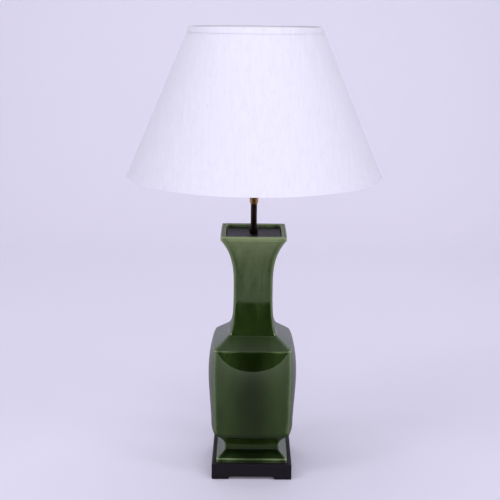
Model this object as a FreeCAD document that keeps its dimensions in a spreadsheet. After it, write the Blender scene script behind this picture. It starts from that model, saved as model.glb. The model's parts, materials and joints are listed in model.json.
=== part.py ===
"""A table lamp: a square bulged vase on a bracket-foot stand, with a lampholder and a tapered shade.

Millimetres, +Z up. The origin is on the lamp's axis at the surface that it stands on, the front
is towards -Y and the flex enters at the back, towards +Y.
"""
import FreeCAD, Part
import os
import Sketcher
from types import SimpleNamespace

Vector = FreeCAD.Vector

# Driving dimensions. Half widths are measured square to a side, from the lamp's axis.
DIMENSIONS = {
    # stand
    "pad_thickness": 1.0,
    "pad_radius": 7.0,
    "pad_reach": 58.0,
    "stand_half_width": 66.2,
    "stand_board_thickness": 8.0,
    "stand_edge_round": 1.8,
    "stand_hole_clearance": 0.3,
    "apron_height": 18.0,
    "apron_thickness": 14.0,
    "mitre_gap": 0.1,
    "arch_half_width": 38.0,
    "arch_height": 4.5,
    "arch_step": 1.6,
    "arch_shoulder": 5.0,
    "bush_height": 12.0,
    "bush_radius": 5.0,
    "bush_bore_radius": 3.5,
    "bush_length": 15.0,
    "bush_flange_radius": 6.0,
    "bush_flange_thickness": 1.4,
    # vase, from the foot up
    "foot_half_width": 58.4,
    "foot_lip_height": 6.4,
    "foot_recess_half_width": 46.0,
    "foot_recess_depth": 8.0,
    "flare_height": 10.6,
    "flare_hollow": 0.8,
    "waist_half_width": 44.5,
    "waist_height": 14.5,
    "cove_half_width": 57.5,
    "cove_height": 16.9,
    "base_round_height": 4.2,
    "body_base_half_width": 61.1,
    "body_base_bulge": 7.9,
    "body_height": 143.7,
    "body_middle_level": 96.4,
    "body_middle_half_width": 63.1,
    "body_middle_bulge": 10.3,
    "body_top_half_width": 62.3,
    "body_top_bulge": 4.6,
    "shoulder_height": 18.4,
    "shoulder_top_half_width": 39.2,
    "neck_half_width": 31.5,
    "neck_lower_height": 88.3,
    "neck_lower_taper": 2.2,
    "neck_upper_height": 72.7,
    "neck_flare": 20.3,
    "lip_half_width": 52.4,
    "lip_height": 6.8,
    "rim_width": 8.0,
    "ledge_width": 3.0,
    "flat_bulge": 0.4,
    "shoulder_top_bulge": 1.0,
    "sharp_corner_radius": 2.4,
    "neck_corner_radius": 4.2,
    "body_corner_radius": 4.6,
    "wall": 6.0,
    "floor_thickness": 11.0,
    "drill_radius": 6.5,
    # rod, plate and stem
    "plate_thickness": 1.5,
    "plate_clearance": 0.4,
    "rod_radius": 5.0,
    "rod_bore_radius": 3.75,
    "rod_tail": 2.0,
    "rod_clearance": 0.1,
    "washer_radius": 15.0,
    "washer_thickness": 2.0,
    "nut_half_width": 8.5,
    "nut_thickness": 5.0,
    "coupler_height": 15.5,
    "coupler_foot_radius": 6.5,
    "coupler_radius": 7.2,
    "coupler_belly_height": 6.2,
    "coupler_collar_radius": 6.4,
    "coupler_collar_height": 11.6,
    "coupler_top_radius": 5.5,
    "stem_exposed": 33.6,
    # lampholder
    "nose_height": 9.5,
    "nose_taper_height": 3.8,
    "nose_foot_radius": 5.5,
    "nose_radius": 6.8,
    "holder_skin": 1.0,
    "cap_dome_height": 10.5,
    "cap_dome_bend_inset": 4.2,
    "cap_dome_bend_rise": 4.7,
    "cap_skirt_height": 6.0,
    "cap_radius": 18.6,
    "holder_radius": 19.75,
    "holder_height": 37.0,
    "insulator_radius": 16.6,
    "insulator_height": 15.5,
    "insulator_rim_height": 10.2,
    "shell_radius": 14.3,
    "shell_skin": 0.4,
    "shell_height": 22.0,
    "shell_hole_radius": 6.0,
    "contact_radius": 3.0,
    "contact_face_radius": 1.8,
    "contact_shoulder_height": 2.2,
    "contact_height": 3.2,
    "terminal_reach": 10.0,
    "terminal_radius": 2.2,
    "terminal_height": 4.0,
    # push-bar switch
    "bar_radius": 2.2,
    "bar_level": 5.5,
    "bar_clearance": 0.4,
    "bar_travel": 5.0,
    "button_radius": 3.4,
    "button_thickness": 4.5,
    "button_gap": 0.6,
    # shade rings and carrier
    "shade_ring_level": 16.0,
    "shade_ring_radius": 26.5,
    "shade_ring_height": 5.0,
    "shade_ring_chamfer": 1.0,
    "thread_gap": 0.1,
    "swivel_gap": 0.3,
    "carrier_thickness": 1.6,
    "carrier_margin": 5.6,
    "leg_wire_radius": 1.6,
    "leg_foot_rise": 12.0,
    "leg_shoulder_radius": 46.0,
    "leg_shoulder_rise": 44.0,
    "leg_bend_radius": 12.0,
    "leg_top_run": 14.0,
    "gallery_radius": 49.0,
    "gallery_skin": 1.2,
    "gallery_collar_height": 6.5,
    "gallery_flange_width": 6.0,
    # shade
    "shade_bottom_radius": 202.4,
    "shade_top_radius": 103.2,
    "shade_bottom_level": 502.3,
    "shade_height": 229.5,
    "cover_thickness": 0.8,
    "liner_thickness": 0.5,
    "skin_gap": 0.15,
    "trim_width": 8.0,
    "trim_thickness": 0.6,
    "ring_wire_radius": 1.7,
    "ring_wire_inset": 3.0,
    "drop": 26.0,
    "drop_ring_gap": 0.9,
    "arm_wire_radius": 1.5,
    "arm_run": 13.0,
    "arm_bend_radius": 8.0,
    "seat_gap": 0.3,
    # bulb
    "bulb_radius": 30.0,
    "bulb_height": 84.0,
    "bulb_neck_radius": 13.4,
    "bulb_throat_radius": 14.0,
    "bulb_throat_height": 13.5,
    "bulb_flare_radius": 23.4,
    "bulb_flare_height": 33.5,
    "bulb_crown_flat_radius": 1.0,
    "bulb_glass_thickness": 0.8,
    "bulb_cap_radius": 13.2,
    "bulb_cap_height": 22.0,
    "bulb_cap_taper": 4.0,
    "bulb_cap_floor_radius": 6.9,
    "bulb_cap_floor_height": 5.0,
    "bulb_cap_skin": 0.5,
    "bulb_tip_radius": 4.6,
    "bulb_tip_face_radius": 2.8,
    "bulb_tip_bevel": 1.3,
    "bulb_tip_height": 2.6,
    "bulb_seat_gap": 0.3,
}

# Counts, powers, angles in degrees and shares, which aren't lengths.
LEG_COUNT = 3
ARM_COUNT = 3
PAD_COUNT = 4
APRON_COUNT = 4
TERMINAL_COUNT = 2
NECK_FLARE_POWER = 2.4
NECK_TAPER_POWER = 2
NECK_FOOT_POWER = 10
COVE_ANGLES = (0, 25, 48, 70, 90)
ROUND_ANGLES = (90, 50, 0)
NECK_LOWER_STEPS = (1.0, 0.93, 0.84, 0.68, 0.38, 0.0)
NECK_UPPER_STEPS = (0.0, 0.3, 0.55, 0.78, 1.0)
PANEL_LOW_SHARES = {"level": 0.5, "width": 0.75, "bulge": 0.5}
PANEL_HIGH_SHARES = {"level": 0.5, "width": 0.2, "bulge": 0.3}
BORE_LOW_STEP = 0.75
BORE_FLARE_STEP = 0.6
WELL_TOP_SHARE = 0.55

TOUCH = 0.01       # how near two places count as one
OVERCUT = 1.0      # how far a cut runs past the face that it starts from


class Size:
    """A length and the expression that gives it, so that a change of a cell reaches every use."""

    def __init__(self, value, text):
        self.value = value
        self.text = text

    def __add__(self, other):
        other = as_size(other)
        return Size(self.value + other.value, f"({self.text} + {other.text})")

    def __sub__(self, other):
        other = as_size(other)
        return Size(self.value - other.value, f"({self.text} - {other.text})")

    def __mul__(self, other):
        other = as_size(other)
        return Size(self.value * other.value, f"({self.text} * {other.text})")

    def __truediv__(self, other):
        other = as_size(other)
        return Size(self.value / other.value, f"({self.text} / {other.text})")

    def __pow__(self, power):
        return Size(self.value ** power, f"({self.text} ^ {power})")

    def __neg__(self):
        return Size(-self.value, f"(0 - {self.text})")

    def __radd__(self, other):
        return as_size(other) + self

    def __rsub__(self, other):
        return as_size(other) - self

    def __rmul__(self, other):
        return as_size(other) * self


def as_size(value):
    """A plain number as a Size that no cell drives."""
    return value if isinstance(value, Size) else Size(float(value), f"{value:.6f}")


class Bend(tuple):
    """A point that an arc passes half way between its two neighbours."""


doc = FreeCAD.newDocument("lamp")
sheet = doc.addObject("Spreadsheet::Sheet", "sizes")
for row, (alias, number) in enumerate(DIMENSIONS.items(), start=1):
    sheet.set(f"A{row}", alias)
    sheet.set(f"B{row}", str(number))
    sheet.setAlias(f"B{row}", alias)
doc.recompute()
dim = SimpleNamespace(**{alias: Size(number, f"sizes.{alias}") for alias, number in DIMENSIONS.items()})
PARTS = []


# ---------------------------------------------------------------- helpers

def bind(item, target, size):
    """Set one property from a size's expression."""
    item.setExpression(target, as_size(size).text)


def new_body(name, level=0.0):
    """A body for one piece, lifted so that the piece's own zero is at level."""
    body = doc.addObject("PartDesign::Body", name)
    body.Label = name
    bind(body, "Placement.Base.z", level)
    PARTS.append(body)
    return body


def new_sketch(body, name, role="XY_Plane", offset=0.0):
    """A sketch on one of the body's own planes, moved along the plane's normal."""
    sketch = body.newObject("Sketcher::SketchObject", name)
    plane = next(item for item in body.Origin.OriginFeatures if item.Role == role)
    sketch.AttachmentSupport = [(plane, "")]
    sketch.MapMode = "FlatFace"
    bind(sketch, "AttachmentOffset.Base.z", offset)
    return sketch


def sine(degrees):
    """The sine of an angle in degrees."""
    return FreeCAD.Rotation(Vector(0, 0, 1), degrees).multVec(Vector(1, 0, 0)).y


def cosine(degrees):
    """The cosine of an angle in degrees."""
    return FreeCAD.Rotation(Vector(0, 0, 1), degrees).multVec(Vector(1, 0, 0)).x


def between(low, high, share):
    """The size that lies a share of the way from low to high."""
    return low + (high - low) * share


def vector(point):
    """A sketch point as a vector."""
    return Vector(as_size(point[0]).value, as_size(point[1]).value, 0)


def locate(sketch, geometry, vertex, point):
    """Hold a vertex at a point by its two distances from the sketch's origin."""
    for kind, size in zip(("DistanceX", "DistanceY"), point):
        size = as_size(size)
        index = sketch.addConstraint(Sketcher.Constraint(kind, -1, 1, geometry, vertex, size.value))
        sketch.setExpression(f"Constraints[{index}]", size.text)


def near_end(sketch, geometry, point):
    """The number of the vertex of an edge that lies at a point: 1 for its start, 2 for its end."""
    return 1 if (sketch.getPoint(geometry, 1) - vector(point)).Length < TOUCH else 2


def draw(sketch, points):
    """A closed outline through points, with an arc through each Bend."""
    corners = [index for index, point in enumerate(points) if not isinstance(point, Bend)]
    edges = []
    for here, there in zip(corners, corners[1:] + [corners[0] + len(points)]):
        start = points[here]
        end = points[there % len(points)]
        if there - here == 2:
            middle = points[here + 1]
            edge = sketch.addGeometry(Part.Arc(vector(start), vector(middle), vector(end)), False)
            mark = sketch.addGeometry(Part.Point(vector(middle)), True)
            locate(sketch, mark, 1, middle)
            sketch.addConstraint(Sketcher.Constraint("PointOnObject", mark, 1, edge))
        else:
            edge = sketch.addGeometry(Part.LineSegment(vector(start), vector(end)), False)
        edges.append((edge, near_end(sketch, edge, start), start))
    for (edge, vertex, start), (before, before_vertex, _) in zip(edges, edges[-1:] + edges[:-1]):
        sketch.addConstraint(Sketcher.Constraint("Coincident", before, 3 - before_vertex, edge, vertex))
        locate(sketch, edge, vertex, start)


def draw_circle(sketch, centre, radius):
    """A circle held by its centre and radius."""
    circle = sketch.addGeometry(Part.Circle(vector(centre), Vector(0, 0, 1), as_size(radius).value), False)
    locate(sketch, circle, 3, centre)
    index = sketch.addConstraint(Sketcher.Constraint("Radius", circle, as_size(radius).value))
    sketch.setExpression(f"Constraints[{index}]", as_size(radius).text)


def draw_bent_wire(sketch, corners, radius):
    """An open path of straight runs through corners, with a tangent arc at each one between."""
    places = [vector(corner) for corner in corners]
    turns = []
    for before, corner, after in zip(places, places[1:], places[2:]):
        arriving = (corner - before).normalize()
        leaving = (after - corner).normalize()
        reach = radius.value * (1 - arriving.dot(leaving)) / arriving.cross(leaving).Length
        start = corner - arriving * reach
        end = corner + leaving * reach
        inward = (leaving - arriving).normalize()
        depth = (reach ** 2 + radius.value ** 2) ** 0.5 - radius.value
        turns.append((start, corner + inward * depth, end))
    starts = [places[0]] + [end for _, _, end in turns]
    ends = [start for start, _, _ in turns] + [places[-1]]
    runs = [sketch.addGeometry(Part.LineSegment(a, b), False) for a, b in zip(starts, ends)]
    for number, (start, middle, end) in enumerate(turns):
        arc = sketch.addGeometry(Part.Arc(start, middle, end), False)
        first = near_end(sketch, arc, start)
        sketch.addConstraint(Sketcher.Constraint("Tangent", runs[number], 2, arc, first))
        sketch.addConstraint(Sketcher.Constraint("Tangent", arc, 3 - first, runs[number + 1], 1))
        index = sketch.addConstraint(Sketcher.Constraint("Radius", arc, radius.value))
        sketch.setExpression(f"Constraints[{index}]", radius.text)
        mark = sketch.addGeometry(Part.Point(places[number + 1]), True)
        locate(sketch, mark, 1, corners[number + 1])
        sketch.addConstraint(Sketcher.Constraint("PointOnObject", mark, 1, runs[number]))
        sketch.addConstraint(Sketcher.Constraint("PointOnObject", mark, 1, runs[number + 1]))
    locate(sketch, runs[0], 1, corners[0])
    locate(sketch, runs[-1], 2, corners[-1])


def cut_volume(body, build):
    """Run a step that cuts, and make sure that it took material away."""
    doc.recompute()
    before = body.Shape.Volume
    feature = build()
    doc.recompute()
    if body.Shape.Volume > before - TOUCH:
        raise RuntimeError(f"{body.Label}: {feature.Label} cuts nothing")
    return feature


def pad(body, sketch, length):
    """Material raised from a sketch along its normal."""
    feature = body.newObject("PartDesign::Pad", f"{sketch.Name}_pad")
    feature.Profile = sketch
    bind(feature, "Length", length)
    sketch.Visibility = False
    return feature


def pocket(body, sketch, length=None, reverse=False):
    """A cut from a sketch, through everything when no length is given."""
    def build():
        feature = body.newObject("PartDesign::Pocket", f"{sketch.Name}_pocket")
        feature.Profile = sketch
        feature.Reversed = reverse
        if length is None:
            feature.Type = "ThroughAll"
            feature.Midplane = True
        else:
            bind(feature, "Length", length)
        return feature
    return cut_volume(body, build)


def revolve(body, name, points, cut=False):
    """An outline of radius and height turned about the body's axis."""
    sketch = new_sketch(body, name, "XZ_Plane")
    draw(sketch, points)

    def build():
        kind = "PartDesign::Groove" if cut else "PartDesign::Revolution"
        feature = body.newObject(kind, f"{name}_turn")
        feature.Profile = sketch
        feature.ReferenceAxis = (sketch, ["V_Axis"])
        feature.Angle = 360
        return feature
    return cut_volume(body, build) if cut else build()


def turned(name, level, points):
    """A piece made by one turned outline."""
    body = new_body(name, level)
    revolve(body, f"{name}_outline", points)
    return body


def wire_ring(name, level, radius, wire_radius):
    """A closed ring of round wire, with level at the wire's centre."""
    ring = doc.addObject("Part::Torus", name)
    ring.Label = name
    bind(ring, "Radius1", radius)
    bind(ring, "Radius2", wire_radius)
    bind(ring, "Placement.Base.z", level)
    PARTS.append(ring)
    return ring


def pattern_round(body, features, count):
    """Copies of features spread evenly about the body's axis."""
    doc.recompute()
    pattern = body.newObject("PartDesign::PolarPattern", f"{features[0].Name}_pattern")
    pattern.Originals = features
    axis = next(item for item in body.Origin.OriginFeatures if item.Role == "Z_Axis")
    pattern.Axis = (axis, [""])
    pattern.Angle = 360
    pattern.Occurrences = count
    body.Tip = pattern
    return pattern


def is_upright(edge, box):
    """Whether an edge runs up the whole height of a shape that has this box."""
    return edge.BoundBox.ZLength > box.ZLength - TOUCH


def is_upright_or_top(edge, box):
    """Whether an edge runs up the whole height of a shape, or lies in its top face."""
    return is_upright(edge, box) or edge.BoundBox.ZMin > box.ZMax - TOUCH


def find_edges(feature, wanted):
    """Names of a feature's edges that pass a test."""
    doc.recompute()
    box = feature.Shape.BoundBox
    return [f"Edge{number}" for number, edge in enumerate(feature.Shape.Edges, start=1) if wanted(edge, box)]


def fillet(body, feature, wanted, radius):
    """Round the edges of a feature that pass a test."""
    rounding = body.newObject("PartDesign::Fillet", f"{feature.Name}_fillet")
    rounding.Base = (feature, find_edges(feature, wanted))
    bind(rounding, "Radius", radius)
    return rounding


# ---------------------------------------------------------------- levels shared by the pieces

board_level = dim.pad_thickness + dim.apron_height
vase_level = board_level + dim.stand_board_thickness
nut_level = board_level - dim.washer_thickness - dim.nut_thickness
rod_level = nut_level - dim.rod_tail
flare_base = dim.foot_lip_height
waist_base = flare_base + dim.flare_height
cove_base = waist_base + dim.waist_height
round_base = cove_base + dim.cove_height
body_base = round_base + dim.base_round_height
body_top = body_base + dim.body_height
neck_base = body_top + dim.shoulder_height
neck_waist = neck_base + dim.neck_lower_height
lip_base = neck_waist + dim.neck_upper_height
vase_height = lip_base + dim.lip_height
plate_level = vase_level + lip_base
coupler_level = plate_level + dim.plate_thickness
coupler_middle = coupler_level + dim.coupler_height / 2
nose_level = coupler_level + dim.coupler_height + dim.stem_exposed
cap_top = nose_level + dim.nose_height + dim.cap_dome_height + dim.cap_skirt_height
shade_ring_base = cap_top + dim.shade_ring_level
carrier_level = shade_ring_base + dim.shade_ring_height + dim.swivel_gap
upper_ring_level = carrier_level + dim.carrier_thickness + dim.swivel_gap
shade_top = dim.shade_bottom_level + dim.shade_height
drop_ring_level = shade_top - dim.drop
gallery_level = drop_ring_level - dim.arm_wire_radius - dim.seat_gap - dim.gallery_skin
contact_top = cap_top + dim.insulator_rim_height + dim.contact_height


# ---------------------------------------------------------------- stand

def square_corners(width):
    """The corners of a square about the axis, from its half width."""
    return [(-width, -width), (width, -width), (width, width), (-width, width)]


def make_stand_board():
    """The square board that the vase stands on, with its upper edges and its corners eased."""
    body = new_body("stand_board", board_level)
    square = new_sketch(body, "board_square")
    draw(square, square_corners(dim.stand_half_width))
    board = pad(body, square, dim.stand_board_thickness)
    fillet(body, board, is_upright_or_top, dim.stand_edge_round)
    hole = new_sketch(body, "board_circle")
    draw_circle(hole, (0, 0), dim.rod_radius + dim.stand_hole_clearance)
    pocket(body, hole)


def make_aprons():
    """Four mitred rails under the board, each with an arch between two bracket feet."""
    body = new_body("stand_aprons", dim.pad_thickness)
    outside = dim.stand_half_width
    inside = outside - dim.apron_thickness
    straight = outside - dim.stand_edge_round
    slack = dim.mitre_gap / 2
    corner = straight + dim.stand_edge_round * cosine(45)
    bend = Bend((straight + dim.stand_edge_round * sine(22.5), -straight - dim.stand_edge_round * cosine(22.5)))
    plan = new_sketch(body, "apron_plan")
    draw(plan, [(-inside + slack, -inside), (inside - slack, -inside), (corner - slack, -corner), bend,
                (straight, -outside), (-straight, -outside), Bend((-bend[0], bend[1])),
                (-corner + slack, -corner)])
    rail = pad(body, plan, dim.apron_height)

    foot = dim.arch_half_width
    shoulder = foot - dim.arch_shoulder
    turn_x = shoulder + dim.arch_shoulder * cosine(45)
    turn_z = dim.arch_step + (dim.arch_height - dim.arch_step) * sine(45)
    arch = new_sketch(body, "arch_outline", "XZ_Plane")
    draw(arch, [(-foot, -OVERCUT), (foot, -OVERCUT), (foot, dim.arch_step), Bend((turn_x, turn_z)),
                (shoulder, dim.arch_height), (-shoulder, dim.arch_height), Bend((-turn_x, turn_z)),
                (-foot, dim.arch_step)])
    pattern_round(body, [rail, pocket(body, arch)], APRON_COUNT)

    flex_hole = new_sketch(body, "flex_circle", "XZ_Plane")
    draw_circle(flex_hole, (0, dim.bush_height - dim.pad_thickness), dim.bush_radius + dim.rod_clearance)
    pocket(body, flex_hole, dim.stand_half_width + OVERCUT)


def make_pads():
    """Four felt discs under the bracket feet."""
    body = new_body("felt_pads")
    circle = new_sketch(body, "pad_circle")
    draw_circle(circle, (dim.pad_reach, dim.pad_reach), dim.pad_radius)
    disc = pad(body, circle, dim.pad_thickness)
    pattern_round(body, [disc], PAD_COUNT)


def make_bush():
    """A flanged sleeve in the back of the stand, where the flex enters."""
    body = new_body("cord_bush", dim.bush_height)
    sketch = new_sketch(body, "bush_outline")
    face = dim.stand_half_width
    out = face + dim.bush_flange_thickness
    inner = face - dim.bush_length
    draw(sketch, [(dim.bush_bore_radius, inner), (dim.bush_radius, inner), (dim.bush_radius, face),
                  (dim.bush_flange_radius, face), (dim.bush_flange_radius, out), (dim.bush_bore_radius, out)])
    feature = body.newObject("PartDesign::Revolution", "bush_turn")
    feature.Profile = sketch
    feature.ReferenceAxis = (sketch, ["V_Axis"])
    feature.Angle = 360


# ---------------------------------------------------------------- vase

def section(body, name, level, half_width, bulge, corner):
    """A square whose sides bow outwards by bulge and whose corners are rounded by corner.

    A side is the arc through its middle at half_width + bulge. It ends where the corner's arc
    begins, one corner radius in from the corner, at the height that a parabola has there.
    """
    inner = half_width - corner
    side = half_width + bulge * corner * (half_width * 2 - corner) / (half_width ** 2)
    crown = half_width + bulge
    setback = 1 - cosine(45)
    tip = half_width - corner * setback + bulge * corner / half_width * (setback / cosine(45) * 2)
    sketch = new_sketch(body, name, offset=level)
    draw(sketch, [(-inner, -side), Bend((0, -crown)), (inner, -side), Bend((tip, -tip)),
                  (side, -inner), Bend((crown, 0)), (side, inner), Bend((tip, tip)),
                  (inner, side), Bend((0, crown)), (-inner, side), Bend((-tip, tip)),
                  (-side, inner), Bend((-crown, 0)), (-side, -inner), Bend((-tip, -tip))])
    return sketch


def loft(body, name, sections, ruled=False, cut=False):
    """A solid, or a cut, through a stack of sections."""
    kind = "PartDesign::SubtractiveLoft" if cut else "PartDesign::AdditiveLoft"

    def build():
        feature = body.newObject(kind, name)
        feature.Profile = sections[0]
        feature.Sections = sections[1:]
        feature.Ruled = ruled
        return feature
    return cut_volume(body, build) if cut else build()


def neck_lower_width(step):
    """Half width below the neck's waist, where step is 0, down to the shoulder, where step is 1."""
    foot_flare = dim.shoulder_top_half_width - dim.neck_half_width - dim.neck_lower_taper
    return dim.neck_half_width + dim.neck_lower_taper * step ** NECK_TAPER_POWER \
        + foot_flare * step ** NECK_FOOT_POWER


def make_vase():
    """The vase from lofts between bulged squares, one for each stretch between crisp edges."""
    body = new_body("vase", vase_level)
    sharp = dim.sharp_corner_radius
    flat = dim.flat_bulge

    foot = section(body, "foot_base", 0, dim.foot_half_width, flat, sharp)
    foot_edge = section(body, "foot_edge", flare_base, dim.foot_half_width, flat, sharp)
    loft(body, "foot_lip", [foot, foot_edge], ruled=True)
    flare_width = (dim.foot_half_width + dim.waist_half_width) / 2 - dim.flare_hollow
    flare_middle = section(body, "flare_middle", flare_base + dim.flare_height / 2, flare_width, flat, sharp)
    waist_low = section(body, "waist_low", waist_base, dim.waist_half_width, flat, sharp)
    loft(body, "foot_flare", [foot_edge, flare_middle, waist_low])
    cove_low = section(body, "waist_high", cove_base, dim.waist_half_width, flat, sharp)
    loft(body, "waist", [waist_low, cove_low], ruled=True)

    def underside(name, level, width):
        """A section between waist and body, whose bulge and corners grow with its width."""
        share = (width - dim.waist_half_width) / (dim.body_base_half_width - dim.waist_half_width)
        return section(body, name, level, width, between(flat, dim.body_base_bulge, share),
                       between(sharp, dim.body_corner_radius, share))

    cove = [cove_low]
    for number, angle in enumerate(COVE_ANGLES[1:], start=1):
        width = between(dim.cove_half_width, dim.waist_half_width, cosine(angle))
        cove.append(underside(f"cove_{number}", cove_base + dim.cove_height * sine(angle), width))
    loft(body, "cove", cove)
    rounding = [cove[-1]]
    for number, angle in enumerate(ROUND_ANGLES[1:], start=1):
        width = between(dim.cove_half_width, dim.body_base_half_width, cosine(angle))
        level = body_base - dim.base_round_height * sine(angle)
        rounding.append(underside(f"base_round_{number}", level, width))
    loft(body, "base_round", rounding)

    def panel(name, low, high, shares):
        """A section of the body between two (level, half width, bulge) heights."""
        level, width, bulge = (between(a, b, share) for a, b, share in zip(low, high, shares.values()))
        return section(body, name, level, width, bulge, dim.body_corner_radius)

    base = (body_base, dim.body_base_half_width, dim.body_base_bulge)
    belly = (body_base + dim.body_middle_level, dim.body_middle_half_width, dim.body_middle_bulge)
    crown = (body_top, dim.body_top_half_width, dim.body_top_bulge)
    top = section(body, "body_top", *crown, dim.body_corner_radius)
    loft(body, "body_panels", [rounding[-1], panel("body_low", base, belly, PANEL_LOW_SHARES),
                               section(body, "body_middle", *belly, dim.body_corner_radius),
                               panel("body_high", belly, crown, PANEL_HIGH_SHARES), top])

    neck_foot = section(body, "neck_foot", neck_base, dim.shoulder_top_half_width, dim.shoulder_top_bulge,
                        dim.neck_corner_radius)
    loft(body, "shoulder", [top, neck_foot], ruled=True)
    neck = [neck_foot]
    for number, step in enumerate(NECK_LOWER_STEPS[1:], start=1):
        neck.append(section(body, f"neck_lower_{number}", neck_waist - dim.neck_lower_height * step,
                            neck_lower_width(step), flat, dim.neck_corner_radius))
    for number, step in enumerate(NECK_UPPER_STEPS[1:], start=1):
        neck.append(section(body, f"neck_upper_{number}", neck_waist + dim.neck_upper_height * step,
                            dim.neck_half_width + dim.neck_flare * step ** NECK_FLARE_POWER, flat,
                            dim.neck_corner_radius))
    loft(body, "neck", neck)
    lip_low = section(body, "lip_low", lip_base, dim.lip_half_width, flat, sharp)
    lip_high = section(body, "lip_high", vase_height, dim.lip_half_width, flat, sharp)
    loft(body, "lip", [lip_low, lip_high], ruled=True)

    hollow_vase(body)
    return body


def hollow_vase(body):
    """The inside: a tray for the plate, a cavity one wall in from the outside, and the foot's recess."""
    flat = dim.flat_bulge
    sharp = dim.sharp_corner_radius
    inner_corner = dim.body_corner_radius
    tray_width = dim.lip_half_width - dim.rim_width
    mouth_width = tray_width - dim.ledge_width
    tray = [section(body, "tray_floor", lip_base, tray_width, flat, sharp),
            section(body, "tray_mouth", vase_height + OVERCUT, tray_width, flat, sharp)]
    loft(body, "tray", tray, ruled=True, cut=True)
    throat_level = lip_base - dim.wall
    throat = [section(body, "throat_low", throat_level, mouth_width, flat, sharp),
              section(body, "throat_high", lip_base + OVERCUT, mouth_width, flat, sharp)]
    loft(body, "throat", throat, ruled=True, cut=True)
    neck_width = dim.neck_half_width - dim.wall
    shoulder_width = dim.shoulder_top_half_width - dim.wall
    neck = [section(body, "bore_foot", neck_base - dim.wall / 2, shoulder_width, flat, inner_corner),
            section(body, "bore_low", neck_waist - dim.neck_lower_height * BORE_LOW_STEP,
                    neck_lower_width(BORE_LOW_STEP) - dim.wall, flat, inner_corner),
            section(body, "bore_waist", neck_waist, neck_width, flat, inner_corner),
            section(body, "bore_flare", neck_waist + dim.neck_upper_height * BORE_FLARE_STEP,
                    neck_width + dim.neck_flare * BORE_FLARE_STEP ** NECK_FLARE_POWER, flat, inner_corner),
            throat[0]]
    loft(body, "neck_bore", neck, ruled=True, cut=True)
    chamber_top = body_top - dim.wall
    chamber_base = body_base + dim.wall / 2
    waist_width = dim.waist_half_width - dim.wall
    floor_level = dim.foot_recess_depth + dim.floor_thickness
    ceiling = section(body, "chamber_top", chamber_top, dim.body_top_half_width - dim.wall,
                      dim.body_top_bulge, inner_corner)
    chamber = [section(body, "chamber_base", chamber_base, dim.body_base_half_width - dim.wall,
                       dim.body_base_bulge, inner_corner),
               section(body, "chamber_middle", body_base + dim.body_middle_level,
                       dim.body_middle_half_width - dim.wall, dim.body_middle_bulge, inner_corner),
               ceiling]
    loft(body, "chamber", chamber, ruled=True, cut=True)
    loft(body, "shoulder_inside", [ceiling, neck[0]], ruled=True, cut=True)
    well_top = cove_base + dim.cove_height * WELL_TOP_SHARE
    waist = [section(body, "well_floor", floor_level, waist_width, flat, sharp),
             section(body, "well_top", well_top, waist_width, flat, sharp)]
    loft(body, "well", waist, ruled=True, cut=True)
    loft(body, "cove_inside", [waist[1], chamber[0]], ruled=True, cut=True)
    recess = [section(body, "recess_low", -OVERCUT, dim.foot_recess_half_width, flat, sharp),
              section(body, "recess_high", dim.foot_recess_depth, dim.foot_recess_half_width, flat, sharp)]
    loft(body, "foot_recess", recess, ruled=True, cut=True)
    drill = new_sketch(body, "drill_circle")
    draw_circle(drill, (0, 0), dim.drill_radius)
    pocket(body, drill)


# ---------------------------------------------------------------- rod, plate and stem

def make_plate():
    """The square plate that closes the mouth and takes the rod's pull."""
    body = new_body("mouth_plate", plate_level)
    square = new_sketch(body, "plate_square")
    draw(square, square_corners(dim.lip_half_width - dim.rim_width - dim.plate_clearance))
    sheet_metal = pad(body, square, dim.plate_thickness)
    fillet(body, sheet_metal, is_upright, dim.sharp_corner_radius)
    hole = new_sketch(body, "plate_circle")
    draw_circle(hole, (0, 0), dim.rod_radius + dim.rod_clearance)
    pocket(body, hole)


def make_nut():
    """A thin hexagon nut under the washer."""
    body = new_body("base_nut", nut_level)
    hexagon = new_sketch(body, "nut_hexagon")
    side = dim.nut_half_width
    reach = side / cosine(30)
    draw(hexagon, [(reach, 0), (reach / 2, side), (-reach / 2, side),
                   (-reach, 0), (-reach / 2, -side), (reach / 2, -side)])
    pad(body, hexagon, dim.nut_thickness)
    hole = new_sketch(body, "nut_circle")
    draw_circle(hole, (0, 0), dim.rod_radius + dim.rod_clearance)
    pocket(body, hole)


def make_rod_pieces():
    """The tube that ties the stand, vase and plate together, and what it screws into."""
    bore = dim.rod_bore_radius
    radius = dim.rod_radius
    hole = dim.rod_radius + dim.rod_clearance
    turned("base_washer", board_level - dim.washer_thickness,
           [(hole, 0), (dim.washer_radius, 0), (dim.washer_radius, dim.washer_thickness),
            (hole, dim.washer_thickness)])
    rod_length = coupler_middle - rod_level
    turned("tie_rod", rod_level, [(bore, 0), (radius, 0), (radius, rod_length), (bore, rod_length)])
    stem_length = nose_level + dim.nose_height - coupler_middle - dim.rod_clearance
    turned("stem", coupler_middle + dim.rod_clearance,
           [(bore, 0), (radius, 0), (radius, stem_length), (bore, stem_length)])
    turned("neck_coupler", coupler_level,
           [(hole, 0), (dim.coupler_foot_radius, 0), Bend((dim.coupler_radius, dim.coupler_belly_height)),
            (dim.coupler_collar_radius, dim.coupler_collar_height),
            (dim.coupler_top_radius, dim.coupler_height), (hole, dim.coupler_height)])


# ---------------------------------------------------------------- lampholder

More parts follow.
